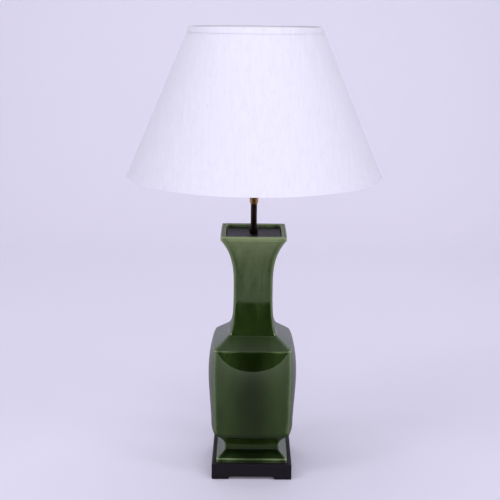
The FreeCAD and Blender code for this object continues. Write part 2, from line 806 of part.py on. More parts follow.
def make_holder():
    """The brass lampholder: cap with entry nose, outer shell, insulator, screw shell and contact."""
    hole = dim.rod_radius + dim.rod_clearance
    skin = dim.holder_skin
    nose = dim.nose_height
    dome = nose + dim.cap_dome_height
    skirt = dome + dim.cap_skirt_height
    bend_radius = dim.cap_radius - dim.cap_dome_bend_inset
    bend_level = nose + dim.cap_dome_bend_rise
    turned("holder_cap", nose_level,
           [(hole, 0), (dim.nose_foot_radius, 0), (dim.nose_radius, dim.nose_taper_height),
            (dim.nose_radius, nose), Bend((bend_radius, bend_level)), (dim.cap_radius, dome),
            (dim.cap_radius, skirt), (dim.cap_radius - skin, skirt), (dim.cap_radius - skin, dome),
            Bend((bend_radius - skin, bend_level + skin)), (dim.nose_radius, nose + skin), (hole, nose + skin)])

    body = turned("holder_body", cap_top,
                  [(dim.insulator_radius, 0), (dim.holder_radius, 0), (dim.holder_radius, dim.holder_height),
                   (dim.holder_radius - skin, dim.holder_height), (dim.holder_radius - skin, skin * 2),
                   (dim.insulator_radius, skin * 2)])
    windows = new_sketch(body, "window_circle", "YZ_Plane")
    draw_circle(windows, (0, dim.bar_level), dim.bar_radius + dim.bar_clearance)
    pocket(body, windows)

    puck = dim.insulator_height
    rim = dim.insulator_rim_height
    base = cap_top + rim - puck
    insulator = turned("holder_insulator", base,
                       [(0, 0), (dim.insulator_radius - dim.thread_gap, 0),
                        (dim.insulator_radius - dim.thread_gap, puck), (0, puck)])
    tunnel = new_sketch(insulator, "tunnel_circle", "YZ_Plane")
    draw_circle(tunnel, (0, cap_top + dim.bar_level - base), dim.bar_radius + dim.bar_clearance)
    pocket(insulator, tunnel)


def make_contacts():
    """The screw shell, the springy centre contact and the terminal screws."""
    base = cap_top + dim.insulator_rim_height
    radius = dim.shell_radius
    inner = radius - dim.shell_skin
    floor = dim.shell_skin
    turned("screw_shell", base,
           [(dim.shell_hole_radius, 0), (radius, 0), (radius, dim.shell_height), (inner, dim.shell_height),
            (inner, floor), (dim.shell_hole_radius, floor)])
    turned("centre_contact", base,
           [(0, 0), (dim.contact_radius, 0), (dim.contact_radius, dim.contact_shoulder_height),
            (dim.contact_face_radius, dim.contact_height), (0, dim.contact_height)])
    body = new_body("terminal_screws", base - dim.insulator_height - dim.terminal_height)
    circle = new_sketch(body, "screw_circle")
    draw_circle(circle, (0, dim.terminal_reach), dim.terminal_radius)
    screw = pad(body, circle, dim.terminal_height)
    pattern_round(body, [screw], TERMINAL_COUNT)


def make_switch():
    """The push bar across the lampholder, with a button at each end, pushed over to one side."""
    body = new_body("switch_bar", cap_top + dim.bar_level)
    inner = dim.holder_radius + dim.button_gap + dim.bar_travel / 2
    outer = inner + dim.button_thickness
    shift = dim.bar_travel / 2
    sketch = new_sketch(body, "bar_outline")
    draw(sketch, [(-outer - shift, 0), (outer - shift, 0), (outer - shift, dim.button_radius),
                  (inner - shift, dim.button_radius), (inner - shift, dim.bar_radius),
                  (-inner - shift, dim.bar_radius), (-inner - shift, dim.button_radius),
                  (-outer - shift, dim.button_radius)])
    feature = body.newObject("PartDesign::Revolution", "bar_turn")
    feature.Profile = sketch
    feature.ReferenceAxis = (sketch, ["H_Axis"])
    feature.Angle = 360


# ---------------------------------------------------------------- shade carrier

def make_shade_rings():
    """Two threaded rings on the lampholder, which clamp the carrier between them."""
    bore = dim.holder_radius + dim.thread_gap
    edge = dim.shade_ring_radius
    height = dim.shade_ring_height
    bevel = dim.shade_ring_chamfer
    for name, level in (("shade_ring_lower", shade_ring_base), ("shade_ring_upper", upper_ring_level)):
        turned(name, level, [(bore, 0), (edge - bevel, 0), (edge, bevel), (edge, height - bevel),
                             (edge - bevel, height), (bore, height)])


def make_carrier():
    """A flat ring on the lampholder, three bent wire legs, and the gallery that they hold up."""
    bore = dim.holder_radius + dim.swivel_gap
    edge = dim.shade_ring_radius + dim.carrier_margin
    turned("carrier_base", carrier_level,
           [(bore, 0), (edge, 0), (edge, dim.carrier_thickness), (bore, dim.carrier_thickness)])

    wire = dim.leg_wire_radius
    foot_radius = edge - wire
    foot_level = carrier_level + dim.carrier_thickness
    top_radius = dim.gallery_radius + dim.gallery_flange_width / 2
    length = gallery_level - foot_level
    body = new_body("carrier_legs", foot_level)
    path = new_sketch(body, "leg_path", "XZ_Plane")
    draw_bent_wire(path, [(foot_radius, 0), (foot_radius, dim.leg_foot_rise),
                          (dim.leg_shoulder_radius, dim.leg_shoulder_rise),
                          (top_radius, length - dim.leg_top_run), (top_radius, length)], dim.leg_bend_radius)
    circle = new_sketch(body, "leg_circle")
    draw_circle(circle, (foot_radius, 0), wire)
    leg = body.newObject("PartDesign::AdditivePipe", "leg_pipe")
    leg.Profile = circle
    leg.Spine = path
    pattern_round(body, [leg], LEG_COUNT)

    collar = dim.gallery_radius
    skin = dim.gallery_skin
    flange = collar + dim.gallery_flange_width
    turned("carrier_gallery", gallery_level,
           [(collar - skin, 0), (flange, 0), (flange, skin), (collar, skin), (collar, dim.gallery_collar_height),
            (collar - skin, dim.gallery_collar_height)])


# ---------------------------------------------------------------- shade

def make_shade():
    """Cover, liner and edge trims as cones on one slope, on two ring wires and a dropped ring."""
    height = dim.shade_height
    slope = (dim.shade_bottom_radius - dim.shade_top_radius) / height
    stretch = (slope ** 2 + 1) ** 0.5

    def wall(depth, level):
        """Radius at a level of the surface that lies depth inside the cover's outer face."""
        return dim.shade_bottom_radius - slope * level - stretch * depth

    def cone(name, outside, inside, low, high):
        turned(name, dim.shade_bottom_level,
               [(wall(outside, low), low), (wall(outside, high), high), (wall(inside, high), high),
                (wall(inside, low), low)])

    liner_face = dim.cover_thickness + dim.skin_gap
    liner_back = liner_face + dim.liner_thickness
    cone("shade_cover", 0, dim.cover_thickness, 0, height)
    cone("shade_liner", liner_face, liner_back, 0, height)

    trim_face = -dim.skin_gap
    trim_out = -dim.skin_gap - dim.trim_thickness
    lap = dim.skin_gap + dim.trim_thickness
    band = dim.trim_width
    for name, near, far, edge in (("shade_top_trim", height + dim.skin_gap, height + lap, height - band),
                                  ("shade_bottom_trim", -dim.skin_gap, -lap, band)):
        turned(name, dim.shade_bottom_level,
               [(wall(trim_out, edge), edge), (wall(trim_out, far), far), (wall(liner_back, far), far),
                (wall(liner_back, near), near), (wall(trim_face, near), near), (wall(trim_face, edge), edge)])

    wire = dim.ring_wire_radius
    wire_depth = liner_back + dim.skin_gap + wire
    top_level = height - dim.ring_wire_inset
    top_ring_radius = wall(wire_depth, top_level)
    wire_ring("shade_top_wire", dim.shade_bottom_level + top_level, top_ring_radius, wire)
    wire_ring("shade_bottom_wire", dim.shade_bottom_level + dim.ring_wire_inset,
              wall(wire_depth, dim.ring_wire_inset), wire)

    arm = dim.arm_wire_radius
    drop_radius = dim.gallery_radius + dim.drop_ring_gap + arm
    wire_ring("shade_gallery", drop_ring_level, drop_radius, arm)
    body = new_body("shade_arms", drop_ring_level)
    start = drop_radius + arm + dim.skin_gap
    end = top_ring_radius - wire - dim.skin_gap
    rise = dim.drop - dim.ring_wire_inset
    path = new_sketch(body, "arm_path", "XZ_Plane")
    draw_bent_wire(path, [(start, 0), (start + dim.arm_run, 0), (end - dim.arm_run, rise), (end, rise)],
                   dim.arm_bend_radius)
    circle = new_sketch(body, "arm_circle", "YZ_Plane", start)
    draw_circle(circle, (0, 0), arm)
    pipe = body.newObject("PartDesign::AdditivePipe", "arm_pipe")
    pipe.Profile = circle
    pipe.Spine = path
    pattern_round(body, [pipe], ARM_COUNT)


# ---------------------------------------------------------------- bulb

def make_bulb():
    """A pear-shaped screw bulb: solder tip, screw cap and a hollow opal glass."""
    tip_level = contact_top + dim.bulb_seat_gap
    turned("bulb_tip", tip_level,
           [(0, 0), (dim.bulb_tip_face_radius, 0), (dim.bulb_tip_radius, dim.bulb_tip_bevel),
            (dim.bulb_tip_radius, dim.bulb_tip_height), (0, dim.bulb_tip_height)])
    cap = dim.bulb_cap_radius
    skin = dim.bulb_cap_skin
    floor = dim.bulb_cap_floor_height
    turned("bulb_cap", tip_level + dim.bulb_tip_height,
           [(0, 0), (dim.bulb_cap_floor_radius, 0), (cap, dim.bulb_cap_taper), (cap, dim.bulb_cap_height),
            (cap - skin, dim.bulb_cap_height), (cap - skin, floor), (0, floor)])
    crown = dim.bulb_height
    belly = dim.bulb_radius
    belly_level = crown - belly

    def wall(depth):
        """The outline of the glass from its mouth to its crown, depth inside the outer face."""
        turn = (belly - depth) * cosine(45)
        return [(dim.bulb_neck_radius - depth, 0), (dim.bulb_throat_radius - depth, dim.bulb_throat_height),
                Bend((dim.bulb_flare_radius - depth, dim.bulb_flare_height)), (belly - depth, belly_level),
                Bend((turn, belly_level + turn)), (dim.bulb_crown_flat_radius, crown - depth),
                (0, crown - depth)]

    turned("bulb_glass", tip_level + dim.bulb_tip_height + dim.bulb_cap_height,
           wall(0) + wall(dim.bulb_glass_thickness)[::-1])


# ---------------------------------------------------------------- build, check and write

make_stand_board()
make_aprons()
make_pads()
make_bush()
make_vase()
make_plate()
make_nut()
make_rod_pieces()
make_holder()
make_contacts()
make_switch()
make_shade_rings()
make_carrier()
make_shade()
make_bulb()
doc.recompute()

faults = [f"{item.Label}: {item.State}" for item in doc.Objects if {"Invalid", "Error"} & set(item.State)]
faults += [f"{piece.Label}: no sound shape" for piece in PARTS if piece.Shape.isNull() or not piece.Shape.isValid()]
if faults:
    raise RuntimeError("; ".join(faults))

os.makedirs("parts", exist_ok=True)
for piece in PARTS:
    piece.Shape.exportStep(f"parts/{piece.Label}.step")
    print(f"{piece.Label:18s} solids {len(piece.Shape.Solids)}  volume {piece.Shape.Volume / 1000:9.2f} cm3  "
          f"z {piece.Shape.BoundBox.ZMin:7.2f} to {piece.Shape.BoundBox.ZMax:7.2f}")
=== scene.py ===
# %% [markdown]
# # A square vase lamp, dressed
#
# The CAD model gives this lamp its solids. This lesson gives each solid a finish made of
# noise and arithmetic, and replaces three solids by surfaces that show more:
#
# - the vase, with eased edges where the glaze runs thin
# - the silk cover of the shade, with its lapped seam
# - the screw cap of the bulb, with a real helical thread
#
# Sizes of these pieces are written in millimetres, and become metres when a mesh is made.
# Materials, stage, lights and camera are in metres.

# %% Load the frame
import json
import math

import bmesh
import bpy
import numpy as np
from mathutils import Matrix, Vector


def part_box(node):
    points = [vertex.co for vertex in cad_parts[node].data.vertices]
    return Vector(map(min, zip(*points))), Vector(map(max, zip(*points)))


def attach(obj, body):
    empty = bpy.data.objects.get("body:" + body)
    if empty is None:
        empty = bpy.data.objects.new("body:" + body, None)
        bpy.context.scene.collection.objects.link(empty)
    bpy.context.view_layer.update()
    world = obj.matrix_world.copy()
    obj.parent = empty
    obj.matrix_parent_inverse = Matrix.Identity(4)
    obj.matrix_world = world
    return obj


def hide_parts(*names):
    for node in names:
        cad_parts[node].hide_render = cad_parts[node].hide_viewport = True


MM = 0.001
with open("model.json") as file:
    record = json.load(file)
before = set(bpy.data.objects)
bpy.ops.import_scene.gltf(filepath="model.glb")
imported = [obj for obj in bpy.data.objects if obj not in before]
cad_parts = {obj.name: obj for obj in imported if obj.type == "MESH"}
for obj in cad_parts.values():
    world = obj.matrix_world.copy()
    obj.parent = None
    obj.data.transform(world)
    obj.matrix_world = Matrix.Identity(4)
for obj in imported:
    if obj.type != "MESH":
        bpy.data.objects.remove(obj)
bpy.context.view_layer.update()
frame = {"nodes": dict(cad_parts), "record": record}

# %% [markdown]
# ## Shader values as Python values
#
# A finish is a graph of small nodes, and wiring them by hand hides the idea. `Signal` wraps
# one output socket, so that `a * 2 + b` adds two Math nodes. `Graph.add` makes any other node.
# `Finish` is the graph of a material: values that are the same all over go straight into its
# sockets, and a signal feeds what changes over the surface.


# %% A socket with arithmetic
class Signal:
    """The output of a node, with arithmetic that adds Math nodes."""

    def __init__(self, graph, socket):
        self.graph = graph
        self.socket = socket

    def math(self, operation, *others):
        return self.graph.add("ShaderNodeMath", {"operation": operation}, (self, *others))

    def __add__(self, other):
        return self.math("ADD", other)

    def __mul__(self, other):
        return self.math("MULTIPLY", other)

    def __sub__(self, other):
        return self.math("SUBTRACT", other)

    def __rsub__(self, other):
        return self * -1 + other

    def axis(self, name):
        """X, Y or Z of a vector."""
        return self.graph.add("ShaderNodeSeparateXYZ", {}, (self,), name)

    def spread(self, low, high, to_low=0.0, to_high=1.0):
        """The range from low to high carried over to another range, and held inside it."""
        return self.graph.add("ShaderNodeMapRange", {}, (self, low, high, to_low, to_high))


# %% A graph of nodes
class Graph:
    """A node tree with short ways to the nodes that this lesson uses most."""

    def __init__(self, tree):
        self.tree = tree

    def plug(self, socket, value):
        if isinstance(value, Signal):
            self.tree.links.new(value.socket, socket)
        else:
            socket.default_value = value

    def add(self, kind, settings, inputs=(), output=0):
        """One node. Inputs come in order, or by name or number from a dict."""
        node = self.tree.nodes.new(kind)
        for key, value in settings.items():
            setattr(node, key, value)
        for key, value in inputs.items() if isinstance(inputs, dict) else enumerate(inputs):
            self.plug(node.inputs[key], value)
        return Signal(self, node.outputs[output])

    def place(self):
        """The point on the object, in metres."""
        return self.add("ShaderNodeTexCoord", {}, output="Object")

    def vector(self, x, y, z):
        return self.add("ShaderNodeCombineXYZ", {}, (x, y, z))

    def noise(self, where, scale, detail, roughness=0.6):
        inputs = {"Vector": where, "Scale": scale, "Detail": detail, "Roughness": roughness}
        return self.add("ShaderNodeTexNoise", {}, inputs, "Fac")

    def blend(self, share, low, high):
        """The colour a share of the way from low to high."""
        return self.add("ShaderNodeMix", {"data_type": "RGBA"}, {0: share, 6: low, 7: high}, 2)


# %% A finish, and a shelf for finishes
class Finish(Graph):
    """A material around one Principled shader."""

    def __init__(self, name, **settings):
        self.name = name
        self.material = bpy.data.materials.new(name)
        self.material.use_nodes = True
        super().__init__(self.material.node_tree)
        self.shader = self.tree.nodes["Principled BSDF"]
        for label, value in settings.items():
            self.feed(label.replace("_", " ").title().replace("Ior", "IOR"), value)

    def feed(self, label, value):
        self.plug(self.shader.inputs[label], value)

    def paint(self, share, low, high):
        """Base colour between two colours. It is kept, so that more can be laid over it."""
        self.colour = self.blend(share, (*low, 1), (*high, 1))
        self.feed("Base Color", self.colour)

    def bump(self, height, strength, depth):
        """Relief from a signal. The depth is that of its full range, in metres."""
        inputs = {"Strength": strength, "Distance": depth, "Height": height}
        self.feed("Normal", self.add("ShaderNodeBump", {}, inputs))


finishes = {}


def keep(finish):
    """Put a finish on the shelf, under its name."""
    finishes[finish.name] = finish
    print(finish.name, "has", len(finish.tree.nodes), "nodes")


# %% [markdown]
# ## Green glaze
#
# The vase is earthenware under a thick transparent glaze. While it is molten the glaze drains
# off every edge, so edges come out pale, and it gathers in hollows, which come out nearly
# black. Light and shade are painted into the same colour: painted highlights and reflections
# pale the corners, the neck, the rim and the flare, painted shade darkens the cove, the waist
# and the shoulder, and a painted dark reflection runs down the middle of each panel. A picture
# could hold that, but it would not follow the shape. The vase's mesh therefore carries an
# attribute that says how thinly the glaze lies at each point, with the painted light and
# shade added, and noise breaks it up. A high IOR and a green specular tint give the milky
# green mirror of a lead glaze. Dust dulls it on the shoulder, which faces up.

# %% Green glaze
POOL_SHADE_COLOUR, THIN_LIT_COLOUR = (0.003, 0.007, 0.0012, 1), (0.33, 0.42, 0.20, 1)
DEEP, BODY = (0.0090, 0.0220, 0.0026, 1), (0.0250, 0.0500, 0.0090, 1)
finish = Finish("green_glaze", ior=1.95, specular_tint=(0.80, 1.0, 0.60, 1))
where = finish.place()
thin = finish.add("ShaderNodeAttribute", {"attribute_name": "thin"}, output="Fac")
drained = finish.vector(where.axis("X"), where.axis("Y"), where.axis("Z") * 0.22)
streak = finish.noise(drained, 90.0, 4.0)
speck = finish.noise(where, 520.0, 3.0, 0.65)
mottle = (streak * 0.7 + speck * 0.3).spread(0.33, 0.67)
# Pale where the glaze runs thin and where highlights and reflections are painted; near black where it
# pools and where shade is painted.
thin_and_lit = (thin + (streak - 0.5) * 0.16 + (speck - 0.5) * 0.14).spread(0.12, 0.95)
pooled_and_shaded = (thin * -1).spread(-0.10, 0.36)
glaze = finish.blend(thin_and_lit, finish.blend(mottle, DEEP, BODY), THIN_LIT_COLOUR)
finish.feed("Base Color", finish.blend(pooled_and_shaded, glaze, POOL_SHADE_COLOUR))
dusty = finish.add("ShaderNodeNewGeometry", {}, output="Normal").axis("Z").spread(0.55, 0.80)
finish.feed("Roughness", streak.spread(0.3, 0.7, 0.02, 0.05) + dusty * 0.16)
finish.bump(finish.noise(where, 30.0, 1.0, 0.5) + speck * 0.04, 0.05, 0.0004)
keep(finish)

# %% [markdown]
# ## Ebonised wood
#
# The stand is hardwood stained black. A picture of wood would repeat, and would have to be
# laid on each rail. Noise squeezed along X gives grain inside the solid instead, because the
# board and the front rail are cut that way. Colour, roughness and relief share it, so the
# pores look like pores.

# %% Ebonised wood
GRAIN_SQUEEZE = 0.06
finish = Finish("ebonised_wood", specular_ior_level=0.25)
where = finish.place()
fibre = finish.vector(where.axis("X") * GRAIN_SQUEEZE, where.axis("Y"), where.axis("Z"))
grain = finish.noise(fibre, 520.0, 5.0)
finish.paint(grain, (0.0075, 0.0070, 0.0095), (0.0165, 0.0145, 0.0180))
finish.feed("Roughness", grain.spread(0.3, 0.7, 0.30, 0.46))
finish.bump(grain, 0.25, 0.0002)
keep(finish)

# %% [markdown]
# ## Felt
#
# Thin felt pads keep the feet from scratching a table. Real fibres could be grown as hair, but
# the pads are a millimetre thick, so sheen stands in for the light that loose fibres scatter,
# and fine noise for their tangle.

# %% Felt
finish = Finish("felt", ior=1.4, sheen_weight=0.5)
fibre = finish.noise(finish.place(), 1500.0, 5.0, 0.7)
finish.paint(fibre, (0.010, 0.010, 0.010), (0.035, 0.035, 0.035))
finish.feed("Roughness", fibre.spread(0.2, 0.8, 0.85, 1.0))
finish.bump(fibre, 0.8, 0.0004)
keep(finish)

# %% [markdown]
# ## Metals
#
# The metal pieces are turned on a lathe or polished round their axis. An anisotropic shader
# would stretch the highlights too, but it shows no rings. Noise that is squeezed in X and Y
# but not in Z gives the fine rings of that work, and a slower noise gives the stains that
# years of handling leave.

# %% Turned metals
RING_SQUEEZE = 0.08


def turned_metal(name, low, high, roughness):
    """A metal between two colours, with rings round the Z axis and soft stains."""
    finish = Finish(name, metallic=1.0)
    where = finish.place()
    x, y = where.axis("X") * RING_SQUEEZE, where.axis("Y") * RING_SQUEEZE
    rings = finish.noise(finish.vector(x, y, where.axis("Z")), 900.0, 4.0)
    stain = finish.noise(where, 90.0, 3.0)
    finish.paint(rings * 0.35 + stain * 0.65, low, high)
    finish.feed("Roughness", stain.spread(0.3, 0.7, roughness, roughness + 0.14))
    finish.bump(rings, 0.3, 0.00004)
    return finish


BRASS = ((0.34, 0.185, 0.06), (0.58, 0.35, 0.14))
ZINC = ((0.36, 0.36, 0.37), (0.52, 0.52, 0.53))
keep(turned_metal("lamp_brass", *BRASS, 0.26))
keep(turned_metal("plated_steel", *ZINC, 0.30))
keep(turned_metal("bronzed_steel", (0.030, 0.018, 0.013), (0.060, 0.040, 0.030), 0.30))
keep(turned_metal("bulb_metal", (0.50, 0.49, 0.48), (0.66, 0.65, 0.64), 0.30))

# %% [markdown]
# Two kinds of metal piece carry a fine pattern that would cost many faces. The rings that
# hold the shade carrier are fluted for the fingers: a sine of the angle round the axis. The
# tie rod is threaded: a sine of its height over the pitch, less the angle, is a helix.

# %% Fluted and threaded metals
FLUTES, ROD_PITCH = 90, 0.001
fluted = turned_metal("fluted_brass", *BRASS, 0.24)
where = fluted.place()
angle = where.axis("X").math("ARCTAN2", where.axis("Y"))
fluted.bump((angle * FLUTES).math("SINE"), 0.9, 0.0005)

threaded = turned_metal("threaded_steel", *ZINC, 0.32)
where = threaded.place()
angle = where.axis("Y").math("ARCTAN2", where.axis("X"))
threaded.bump((where.axis("Z") * (2 * math.pi / ROD_PITCH) - angle).math("SINE"), 0.8, 0.0004)
keep(fluted)
keep(threaded)

# %% [markdown]
# ## Plastics, card and painted wire
#
# The lampholder's insulator and switch are moulded, the shade is lined with stiff card, and
# its wires are painted white. One flat colour would do from far away. A faint cloudiness in
# colour, gloss and relief keeps them from looking like nothing at all from near.


# %% Plain solids
def plain(name, low, high, roughness):
    """A smooth opaque material with a faint cloudiness."""
    finish = Finish(name, ior=1.5)
    cloud = finish.noise(finish.place(), 240.0, 4.0)
    finish.paint(cloud, low, high)
    finish.feed("Roughness", cloud.spread(0.3, 0.7, roughness, roughness + 0.1))
    finish.bump(cloud, 0.15, 0.0001)
    return finish


keep(plain("phenolic", (0.018, 0.012, 0.009), (0.030, 0.020, 0.015), 0.35))
keep(plain("switch_plastic", (0.008, 0.008, 0.008), (0.016, 0.016, 0.016), 0.22))
keep(plain("liner_card", (0.76, 0.76, 0.78), (0.82, 0.82, 0.84), 0.55))
keep(plain("white_wire", (0.70, 0.70, 0.70), (0.78, 0.78, 0.78), 0.35))

# %% [markdown]
# ## The plate in the mouth
#
# The plate is painted dark grey, and painted shade makes a near-black line round its edge,
# in the gap against the glazed wall. The line could be a slim ring of its own, but colour is
# enough. The larger of |x| and |y| is the same all along a square, and marks it.

# %% Painted plate with painted shade round its edge
GAP_EDGE, GAP_BLUR, GAP_SHADE = 0.0407, 0.0004, (0.002, 0.002, 0.002, 1)
finish = plain("black_plate", (0.018, 0.015, 0.023), (0.032, 0.027, 0.039), 0.28)
where = finish.place()
square = where.axis("X").math("ABSOLUTE").math("MAXIMUM", where.axis("Y").math("ABSOLUTE"))
# Painted shade: near black in the gap round the plate's edge.
gap_shaded = square.spread(GAP_EDGE - GAP_BLUR, GAP_EDGE + GAP_BLUR)
finish.feed("Base Color", finish.blend(gap_shaded, finish.colour, GAP_SHADE))
keep(finish)

# %% [markdown]
# ## Silk
#
# The cover is cut flat from slubbed silk and rolled into a cone, so the threads run straight
# on the flat cloth, and lean away from the slope of the cone as they go round it. A UV map
# could carry the flat cloth, but the rolled trims would each need one too. So the finish
# unrolls the cone itself: a point at height z and angle q of a cone with its apex at height A
# and half angle a lies on the flat cloth at the distance (A - z) / cos a from the apex, turned
# by q sin a. Noise stretched along the threads gives three things: uneven dye, thread, and the
# sparse thick slubs that silk of this kind has.

# %% Silk on the flat cloth
APEX, HALF_ANGLE = 0.9706, math.radians(23.38)
finish = Finish("silk", ior=1.4, sheen_weight=0.15, sheen_roughness=0.4)
where = finish.place()
turned = where.axis("X").math("ARCTAN2", where.axis("Y") * -1) * math.sin(HALF_ANGLE)
reach = (APEX - where.axis("Z")) * (1 / math.cos(HALF_ANGLE))
across = reach * turned.math("SINE")
along = reach * turned.math("COSINE")
dye = finish.noise(finish.vector(across * 160, along * 22, 0.0), 1.0, 3.0)
thread = finish.noise(finish.vector(across * 1100, along * 40, 3.0), 1.0, 2.0)
slub = finish.noise(finish.vector(across * 480, along * 60, 7.0), 1.0, 3.0, 0.65).spread(0.58, 0.72)
cloth = (dye * 0.34 + thread * 0.36 + (1 - slub) * 0.30).spread(0.38, 0.76)
finish.paint(cloth, (0.755, 0.75, 0.825), (0.855, 0.85, 0.93))
finish.feed("Roughness", thread.spread(0.3, 0.7, 0.6, 0.8))
finish.bump(slub * 0.7 + thread * 0.3, 0.5, 0.0006)
keep(finish)

# %% [markdown]
# ## Opal glass
#
# The bulb is clear glass with a white coating inside. Glass that lets light through could show
# both, but it is slow, and the bulb is unlit. A solid white under a coat of gloss reads the
# same.

# %% Opal glass
finish = Finish("opal_glass", ior=1.5, coat_weight=0.4)
cloud = finish.noise(finish.place(), 60.0, 3.0, 0.5)
finish.paint(cloud, (0.80, 0.80, 0.79), (0.87, 0.87, 0.86))
finish.feed("Roughness", cloud.spread(0.3, 0.7, 0.12, 0.2))
keep(finish)

# %% [markdown]
# ## Dressing the CAD pieces
#
# Each CAD piece is one material all through, so it takes one finish. The list could be written
# out here, but the record already names a slot for each piece. The rings and the rod take the
# fluted and threaded kinds of theirs.


# %% Dress the CAD pieces
def dress(item, finish):
    """Give a mesh one finish."""
    item.data.materials.clear()
    item.data.materials.append(finish.material)


special = {"shade_ring_lower": fluted, "shade_ring_upper": fluted, "tie_rod": threaded}
for entry in frame["record"]["subparts"]:
    node = entry["node"]
    dress(frame["nodes"][node], special.get(node, finishes[entry["material_slot"]]))
print("dressed", len(frame["nodes"]), "pieces in", len(finishes), "finishes")

# %% [markdown]
# ## Closed surfaces from grids
#
# The three made pieces are all rings stacked along a profile. A Screw modifier could carry a
# profile round, but only in a circle, and the vase is square. A grid of points whose rows and
# columns both wrap round serves all three. Rows that shrink to a point are merged, and the
# signed volume of the mesh tells which way its faces should turn.


# %% Faces of a wrapped grid
def wrapped_quads(rows, columns):
    """Corner numbers of the faces of a grid that wraps both ways."""
    index = np.arange(rows * columns).reshape(rows, columns)
    beside = np.roll(index, -1, axis=1)
    above = np.roll(index, -1, axis=0)
    return np.stack([index, beside, np.roll(above, -1, axis=1), above], axis=-1).reshape(-1, 4)


def signed_volume(points, quads):
    """Six times the volume: the sum of the triple products of two triangles of each face."""
    a, b, c, d = (points[quads[:, k]] for k in range(4))
    return (np.cross(a, b) * c).sum() + (np.cross(a, c) * d).sum()


# %% A mesh from a wrapped grid
WELD, SHARP_ANGLE = 1e-7, math.radians(60)


def weld(mesh):
    """Merge points that fall together, and drop the faces that they closed up."""
    work = bmesh.new()
    work.from_mesh(mesh)
    bmesh.ops.remove_doubles(work, verts=work.verts, dist=WELD)
    bmesh.ops.dissolve_degenerate(work, edges=work.edges, dist=WELD)
    work.to_mesh(mesh)
    work.free()


def grid_piece(name, grid, slot, **attributes):
    """A closed piece from points of shape (rows, columns, 3), in millimetres."""
    quads = wrapped_quads(*grid.shape[:2])
    points = grid.reshape(-1, 3)
    if signed_volume(points, quads) < 0:
        quads = quads[:, ::-1]
    mesh = bpy.data.meshes.new(name)
    mesh.from_pydata((points * MM).tolist(), [], quads.tolist())
    for label, values in attributes.items():
        layer = mesh.attributes.new(label, "FLOAT", "POINT")
        layer.data.foreach_set("value", values.ravel().astype(np.float32))
    weld(mesh)
    mesh.set_sharp_from_angle(angle=SHARP_ANGLE)
    item = bpy.data.objects.new(name, mesh)
    bpy.context.scene.collection.objects.link(item)
    dress(item, finishes[slot])
    print(name, "has", len(mesh.polygons), "faces")
    return item


# %% [markdown]
# ## The vase
#
# The vase is square in plan, with sides that bow out and corners that are rounded. It could be
# a box bent by modifiers, but its edges need to know how thin the glaze is, so it is computed.
# One row of numbers describes one ring: its level above the foot, the half width at the
# corners, the bow of a side, the size of a corner, and how thinly the glaze lies there, with
# painted light and shade added. The profile is a closed chain of stretches of such rows: up
# the outside, over the rim, down the inside, and out through the hole that the tie rod passes.

# %% Sizes of the vase
FLAT, CRISP, BODY_CORNER, NECK_CORNER = 0.4, 2.4, 4.6, 4.2
FOOT, WAIST, COVE, FLARE_HOLLOW = 58.4, 44.5, 60.0, 3.2
BASE, BELLY, TOP = (61.1, 7.9), (63.1, 10.3), (62.3, 4.6)
SHOULDER, NECK, LIP = (39.2, 1.0), 31.5, 52.4
NECK_TAPER, NECK_FLARE = 3.4, 20.3
WALL, RIM_WIDTH, LEDGE, RECESS, DRILL = 6.0, 8.0, 3.0, 46.0, 6.5
TRAY = LIP - RIM_WIDTH
LEVEL = {"recess": 8.0, "floor": 19.0,
         "lip": 6.4, "flare": 17.0, "waist": 23.0, "cove": 47.0,
         "base": 52.6, "belly": 149.0, "top": 196.3, "shoulder": 214.7,
         "neck": 291.0, "throat": 369.7, "mouth": 375.7, "rim": 382.5}
print("the vase is", LEVEL["rim"], "mm high and", 2 * sum(BELLY), "mm wide")


# %% Rows and stretches
def rows_of(level, width, bow, corner, thin):
    """Rows from five numbers or arrays."""
    return np.stack(np.broadcast_arrays(level, width, bow, corner, thin), axis=-1).astype(float)


def between(low, high, share):
    """The value a share of the way from low to high."""
    return low + (high - low) * share


def straight(low, high, count=2):
    """Rows evenly spread from one row to another."""
    return between(np.array(low), np.array(high), np.linspace(0, 1, count)[:, None])


# %% [markdown]
# The foot flares in a slight hollow, and the glaze thins on its lip. Painted shade darkens the
# waist and the top of the flare, and a painted reflection pales the flare towards its lip. Above
# the straight waist a cove sweeps out, and painted shade darkens it towards the panels. A
# quarter of an ellipse would be the obvious curve, but it turns out too early, so the width
# grows with the square of the height. A short rounding carries it into the panels.

# %% Foot and waist
# Painted shade darkens the waist and the top of the flare; a painted reflection pales the flare towards
# its lip.
PALE_LIT_FOOT, PAINTED_FOOT_SHADE = 0.20, -0.34


def foot_stretches():
    """Underside of the foot, its edge, the flare w + d s - h s (1 - s), and the waist."""
    share = np.linspace(0, 1, 9)
    width = between(FOOT, WAIST, share) - FLARE_HOLLOW * share * (1 - share)
    thin = between(PAINTED_FOOT_SHADE, PALE_LIT_FOOT, (1 - share) ** 5)
    lip = (LEVEL["lip"], FOOT, FLAT, CRISP, PALE_LIT_FOOT)
    return [straight((0.0, RECESS, FLAT, CRISP, PALE_LIT_FOOT), (0.0, FOOT, FLAT, CRISP, PALE_LIT_FOOT)),
            straight((0.0, FOOT, FLAT, CRISP, 0.0), lip),
            rows_of(between(LEVEL["lip"], LEVEL["flare"], share), width, FLAT, CRISP, thin),
            straight((LEVEL["flare"], WAIST, FLAT, CRISP, PAINTED_FOOT_SHADE),
                     (LEVEL["waist"], WAIST, FLAT, CRISP, 0.0), 4)]


# %% Cove
# Painted shade darkens the cove towards its top, under the panels.
PAINTED_COVE_SHADE, HALF_RIGHT = -0.22, math.pi / 4


